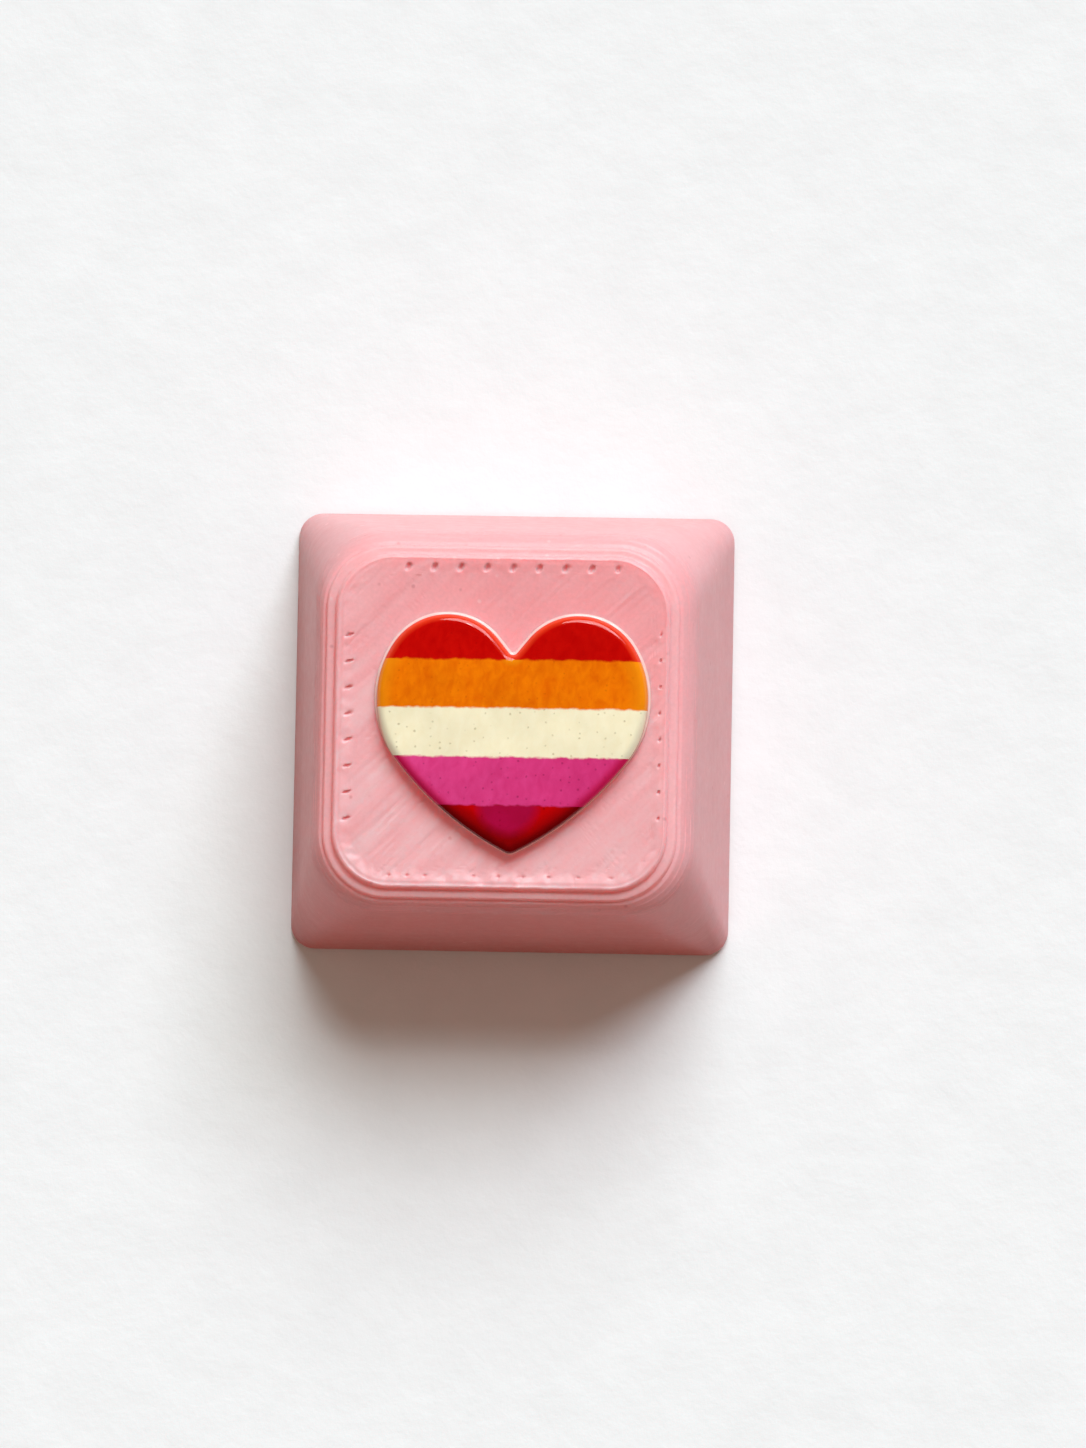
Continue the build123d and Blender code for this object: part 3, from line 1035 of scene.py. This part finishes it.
def make_floor():
    """A wide paper sweep that rises at its far edge, all round."""
    points, faces = [(0, 0, 0)], []
    for radius, z in FLOOR_PROFILE:
        for k in range(FLOOR_SPOKES):
            a = 2 * math.pi * k / FLOOR_SPOKES
            points.append((radius * math.cos(a), radius * math.sin(a), z))
    for k in range(FLOOR_SPOKES):
        after = (k + 1) % FLOOR_SPOKES
        faces.append((0, 1 + k, 1 + after))
        for ring in range(len(FLOOR_PROFILE) - 1):
            inner, outer = 1 + ring * FLOOR_SPOKES, 1 + (ring + 1) * FLOOR_SPOKES
            faces.append((inner + k, outer + k, outer + after, inner + after))
    floor = finish_mesh("floor", points, faces)
    floor.data.materials.append(paper())


def sun(name, azimuth, elevation, level, angle, colour=(1, 1, 1)):
    """A soft distant lamp. Azimuth is measured from +Y towards +X; level is what it adds on white floor."""
    lamp = bpy.data.lights.new(name, "SUN")
    lamp.energy = level * math.pi / math.sin(math.radians(elevation))
    lamp.angle = math.radians(angle)
    lamp.color = colour
    holder = bpy.data.objects.new(name, lamp)
    a, e = math.radians(azimuth), math.radians(elevation)
    towards = Vector((math.sin(a) * math.cos(e), math.cos(a) * math.cos(e), math.sin(e)))
    holder.rotation_mode = "QUATERNION"
    holder.rotation_quaternion = towards.to_track_quat("Z", "Y")
    bpy.context.scene.collection.objects.link(holder)
    return holder


def window(name, level, colour):
    """A lamp that stands for the window, or for a part of its light."""
    return sun(name, WINDOW_AZIMUTH, WINDOW_ELEVATION, level, WINDOW_ANGLE, colour)


def make_light():
    """Warm fill that gloss doesn't mirror, a large window behind the cap, and two weak lamps beside it."""
    world = bpy.data.worlds.new("studio")
    world.use_nodes = True
    background = world.node_tree.nodes["Background"]
    background.inputs["Color"].default_value = FILL_TONE
    background.inputs["Strength"].default_value = FILL_LEVEL
    world.cycles_visibility.glossy = False
    bpy.context.scene.world = world
    window("window", level=0.65, colour=(0.6, 1.0, 1.003))
    sun("key", azimuth=9, elevation=54, level=0.04, angle=4)
    sun("side", azimuth=35, elevation=35, level=0.06, angle=20, colour=(0.92, 0.9, 1.2))


def light_heart_through(cap):
    """The rest of the window's light: it passes the translucent heart, and the cap alone blocks it."""
    lamp = window("window_through", level=0.245, colour=(1.0, 0.255, 0.315))
    blockers = bpy.data.collections.new("blockers")
    blockers.objects.link(cap)
    lamp.light_linking.blocker_collection = blockers


def make_camera():
    """The photo's view: from almost straight above, turned a little."""
    data = bpy.data.cameras.new("camera")
    data.lens = CAMERA_LENS
    data.sensor_width = CAMERA_SENSOR
    data.clip_start = 0.01
    data.clip_end = 20
    camera = bpy.data.objects.new("camera", data)
    place = CAMERA_PLACE * MM
    aim = CAMERA_AIM * MM
    roll = math.radians(CAMERA_ROLL)
    forward = (aim - place).normalized()
    right = forward.cross(Vector((-math.sin(roll), math.cos(roll), 0))).normalized()
    up = right.cross(forward)
    turn = Matrix((right, up, -forward)).transposed()
    camera.matrix_world = Matrix.Translation(place) @ turn.to_4x4()
    bpy.context.scene.collection.objects.link(camera)
    bpy.context.scene.camera = camera


bpy.context.scene.view_settings.view_transform = "Standard"
make_camera()
make_light()
make_floor()

cap = make_cap()
cap.data.materials.append(pink_plastic())
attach(cap, "root")
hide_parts("keycap_shell")
light_heart_through(cap)

for colour, band, band_top, band_foot in make_bands():
    band.data.materials.append(band_gloss(colour, band_top, band_foot))
    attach(band, "root")
    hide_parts("heart_" + colour + "_band")
